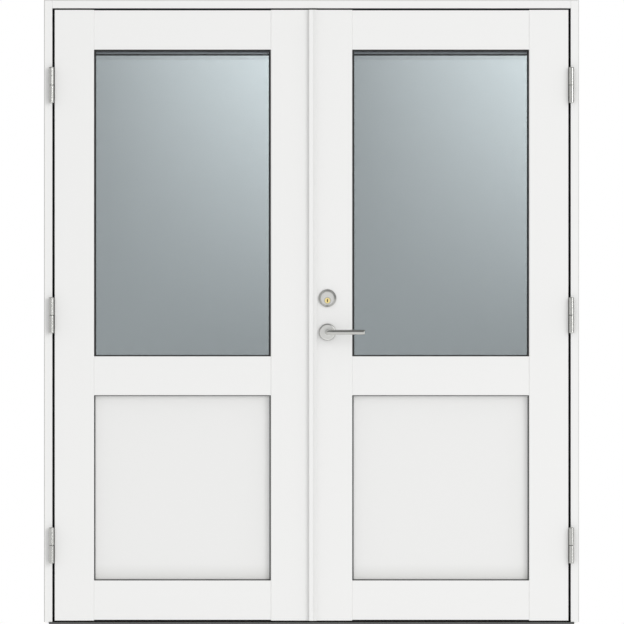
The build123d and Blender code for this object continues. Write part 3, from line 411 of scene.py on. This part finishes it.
# Floor: a pale even floor that keeps the doors' shadow close to them and is plain white to the
# camera further off, sooner behind them. To all other rays it is white.
floor_size, floor_drop = 24.0, 0.0005
side_start, side_end, front_start, front_end, behind_faster = 0.9, 1.2, 0.06, 0.6, 1.5
bpy.ops.object.select_all(action="DESELECT")
bpy.ops.mesh.primitive_plane_add(size=floor_size, location=(0, 0, -floor_drop))
floor = bpy.context.object
floor.name = "floor"
floor_paint, tree, shader, spot = finish("pale floor", "#F0F0EE", 0.7)
path = add(tree, "LightPath")
place = add(tree, "SeparateXYZ", Vector=spot)
aside = add(tree, "Math", {"operation": "ABSOLUTE"}, _0=place.outputs["X"])
ahead = add(tree, "Math", {"operation": "ABSOLUTE"}, _0=place.outputs["Y"])
past = add(tree, "Math", {"operation": "MAXIMUM"}, _0=place.outputs["Y"], _1=0.0)
past = add(tree, "Math", {"operation": "MULTIPLY"}, _0=past.outputs[0], _1=behind_faster)
aside = add(tree, "Math", {"operation": "ADD"}, _0=past.outputs[0], _1=aside.outputs[0])
aside = add(tree, "MapRange", Value=aside.outputs[0], From_Min=side_start, From_Max=side_end)
ahead = add(tree, "MapRange", Value=ahead.outputs[0], From_Min=front_start, From_Max=front_end)
away = add(tree, "Math", {"operation": "MAXIMUM"}, _0=aside.outputs[0], _1=ahead.outputs[0])
by_camera = path.outputs["Is Camera Ray"]
seen = add(tree, "Math", {"operation": "MULTIPLY"}, _0=away.outputs[0], _1=by_camera)
unseen = add(tree, "Math", {"operation": "SUBTRACT"}, _0=1.0, _1=by_camera)
seen = add(tree, "Math", {"operation": "MAXIMUM"}, _0=seen.outputs[0], _1=unseen.outputs[0])
glow = add(tree, "Emission", Color=(1, 1, 1, 1), Strength=1.0)
both = add(tree, "MixShader", Fac=seen.outputs[0], _1=shader.outputs[0], _2=glow.outputs[0])
tree.links.new(both.outputs[0], tree.nodes["Material Output"].inputs["Surface"])
floor.data.materials.append(floor_paint)

# Key light: one large soft panel outside, to the right of the doors and a little above them, which
# gives the reveals and the knuckles their soft shadows on the left.
turn, lift, distance, middle_height = math.radians(40), math.radians(17), 20.0, 1.04
panel_width, panel_height, panel_power = 8.0, 12.6, 1150
reach, rise = distance * math.cos(lift), distance * math.sin(lift)
key_place = (reach * math.sin(turn), -reach * math.cos(turn), middle_height + rise)
bpy.ops.object.light_add(type="AREA", location=key_place)
key_light = bpy.context.object
key_light.name = "key light"
key_light.rotation_euler = (math.radians(90) - lift, 0, turn)
key_light.data.shape = "RECTANGLE"
key_light.data.size, key_light.data.size_y = panel_width, panel_height
key_light.data.energy = panel_power

# Backdrops: a pale card close behind each glass unit, seen only through the glass. It brightens
# towards the upper right, a painted reflection, and has a fainter band along the top, a painted
# shade below the top rail.
card_size, card_out, card_back, card_height, upright = 1.2, 0.6, 0.15, 1.405, math.pi / 2
pane_inward, half_pane, half_height, bow = 0.17, 0.307, 0.52, 1.25
left_rise, right_rise, head_shade_starts, head_shade_full = 0.27, 1.82, 0.478, 0.479
card_level, head_shade_level = 0.65, 0.555
for side, hand in ((-1, "left"), (1, "right")):
    card_place = (side * card_out, card_back, card_height)
    bpy.ops.mesh.primitive_plane_add(size=card_size, location=card_place, rotation=(upright, 0, 0))
    card = bpy.context.object
    card.name = "backdrop " + hand
    card.visible_camera = card.visible_diffuse = card.visible_glossy = card.visible_shadow = False
    made, tree, shader, spot = finish("backdrop card " + hand, "#FFFFFF", 1.0)
    place = add(tree, "SeparateXYZ", Vector=spot)
    pane_middle = -side * pane_inward
    # The rise towards the upper right is a painted reflection.
    across = add(tree, "MapRange", Value=place.outputs["X"], To_Min=left_rise, To_Max=right_rise)
    across.inputs["From Min"].default_value = pane_middle - half_pane
    across.inputs["From Max"].default_value = pane_middle + half_pane
    upward = add(tree, "MapRange", Value=place.outputs["Y"])
    upward.inputs["From Min"].default_value = -half_height
    upward.inputs["From Max"].default_value = half_height
    bowed = add(tree, "Math", {"operation": "POWER"}, _0=upward.outputs[0], _1=bow)
    level = add(tree, "Math", {"operation": "MULTIPLY"}, _0=across.outputs[0], _1=bowed.outputs[0])
    level = add(tree, "Math", {"operation": "ADD"}, _0=level.outputs[0], _1=1.0)
    # The fainter band along the top is a painted shade below the top rail.
    head_shade_band = add(tree, "MapRange", Value=place.outputs["Y"], To_Min=card_level, To_Max=head_shade_level)
    head_shade_band.inputs["From Min"].default_value = head_shade_starts
    head_shade_band.inputs["From Max"].default_value = head_shade_full
    level = add(tree, "Math", {"operation": "MULTIPLY"}, _0=level.outputs[0], _1=head_shade_band.outputs[0])
    glow = add(tree, "Emission", Color=(1, 1, 1, 1), Strength=level.outputs[0])
    tree.links.new(glow.outputs[0], tree.nodes["Material Output"].inputs["Surface"])
    card.data.materials.append(made)

# World: an open white surround, brightest round the horizon. Polished metal sees it as a row of
# paler and darker panels from left to right, and the camera and the glass see it as plain white.
world = bpy.data.worlds.new("studio")
bpy.context.scene.world = world
world.use_nodes = True
tree = world.node_tree
tree.nodes.clear()
path = add(tree, "LightPath")
way = add(tree, "SeparateXYZ", Vector=add(tree, "TexCoord").outputs["Generated"])
left_to_right = add(tree, "MapRange", Value=way.outputs["X"], From_Min=-1.0, From_Max=1.0)
panels = add(tree, "ValToRGB", Fac=left_to_right.outputs[0])
front_to_back = add(tree, "MapRange", Value=way.outputs["Y"], From_Min=-1.0, From_Max=1.0)
surround = add(tree, "ValToRGB", Fac=front_to_back.outputs[0])
panel_levels = ((0.1, 0.42), (0.66, 0.24), (0.7, 0.6), (0.94, 0.56), (0.97, 0.2))
surround_levels = ((0.0, 0.5), (0.25, 0.7), (0.45, 0.95), (0.54, 0.24), (0.7, 0.6))
for ramp, levels in ((panels.color_ramp, panel_levels), (surround.color_ramp, surround_levels)):
    for at, level in levels:
        ramp.elements.new(at).color = (level, level, level, 1.0)
    ramp.elements.remove(ramp.elements[0])
    ramp.elements.remove(ramp.elements[-1])
horizon, overhead, horizon_level, overhead_level = 0.02, 0.3, 1.9, 0.7
above = add(tree, "MapRange", Value=way.outputs["Z"], From_Min=horizon, From_Max=overhead)
above.inputs["To Min"].default_value = horizon_level
above.inputs["To Max"].default_value = overhead_level
level = add(tree, "Math", {"operation": "MULTIPLY"}, _0=panels.outputs[0], _1=above.outputs[0])
mirrored = add(tree, "Background", Color=(1, 1, 1, 1), Strength=level.outputs[0])
soft_level = 1.38
level = add(tree, "Math", {"operation": "MULTIPLY"}, _0=surround.outputs[0], _1=soft_level)
soft = add(tree, "Background", Color=(1, 1, 1, 1), Strength=level.outputs[0])
plain = add(tree, "Background", Color=(1, 1, 1, 1), Strength=1.0)
by_metal = path.outputs["Is Glossy Ray"]
lit = add(tree, "MixShader", Fac=by_metal, _1=soft.outputs[0], _2=mirrored.outputs[0])
seen = add(tree, "Math", {"operation": "MAXIMUM"}, _0=path.outputs["Is Camera Ray"])
tree.links.new(path.outputs["Is Transmission Ray"], seen.inputs[1])
both = add(tree, "MixShader", Fac=seen.outputs[0], _1=lit.outputs[0], _2=plain.outputs[0])
add(tree, "OutputWorld", Surface=both.outputs[0])

# Camera: square to the doors from outside, far back with a long lens, at the middle of their
# height. Its view is 2.076 m wide at the leaves' face.
far, view_width, film_width = 60.0, 2.076, 36.0
view_aside, view_height = 0.0016, 1.042
camera_place = (view_aside, leaf_face - far, view_height)
bpy.ops.object.camera_add(location=camera_place, rotation=(upright, 0, 0))
camera = bpy.context.object
camera.data.sensor_width = film_width
camera.data.lens = film_width * far / view_width
bpy.context.scene.camera = camera
bpy.context.scene.view_settings.view_transform = "Standard"
